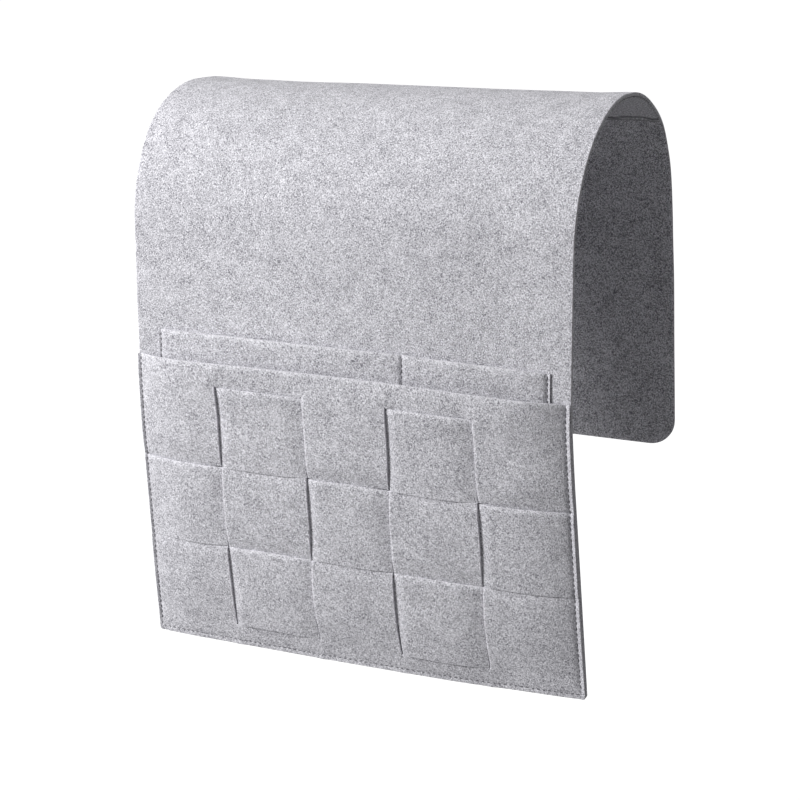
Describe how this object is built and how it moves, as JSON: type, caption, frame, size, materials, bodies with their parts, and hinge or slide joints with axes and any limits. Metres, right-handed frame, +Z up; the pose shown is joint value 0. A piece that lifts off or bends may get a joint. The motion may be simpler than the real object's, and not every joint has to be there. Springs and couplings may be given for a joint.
{
  "type": "remote control holder",
  "caption": "Felt armrest caddy: a long sheet that hangs over an armrest, with a woven pocket on its front drop and a divided inner pocket behind it.",
  "frame": {"origin": "where the crown rests on the armrest: the middle of the liner's underside", "axes": "+X along the armrest, to the right when facing the pocket; -Y towards the pocket side; +Z up"},
  "size_m": [0.37, 0.2589, 0.4528],
  "materials": {
    "sheet_felt": "light grey flecked needle felt",
    "pocket_felt": "light grey flecked needle felt",
    "grip_liner": "matt non-slip sheet",
    "sewing_thread": "grey sewing thread"
  },
  "bodies": {
    "crown": {"saddle_crown": "sheet_felt", "crown_grip_liner": "grip_liner"},
    "front_drop": {"saddle_front_drop": "sheet_felt", "front_panel": "pocket_felt", "weave_strip_1": "pocket_felt", "weave_strip_2": "pocket_felt", "weave_strip_3": "pocket_felt", "inner_panel": "pocket_felt", "pocket_seam_needle_thread": "sewing_thread", "pocket_seam_bobbin_thread": "sewing_thread", "inner_seam_needle_thread": "sewing_thread", "inner_seam_bobbin_thread": "sewing_thread", "divider_seam_needle_thread": "sewing_thread", "divider_seam_bobbin_thread": "sewing_thread"},
    "back_drop": {"saddle_back_drop": "sheet_felt"}
  },
  "joints": [
    {"name": "front_fold", "type": "hinge", "parent": "crown", "child": "front_drop", "pos_m": [0, -0.10288, -0.05806], "axis": [-1, 0, 0], "range_deg": [-5, 120], "stiffness_Nm_per_rad": 0.25, "springref_deg": 0.69},
    {"name": "back_fold", "type": "hinge", "parent": "crown", "child": "back_drop", "pos_m": [0, 0.09654, -0.05402], "axis": [1, 0, 0], "range_deg": [-5, 120], "stiffness_Nm_per_rad": 0.25, "springref_deg": 1.89}
  ]
}
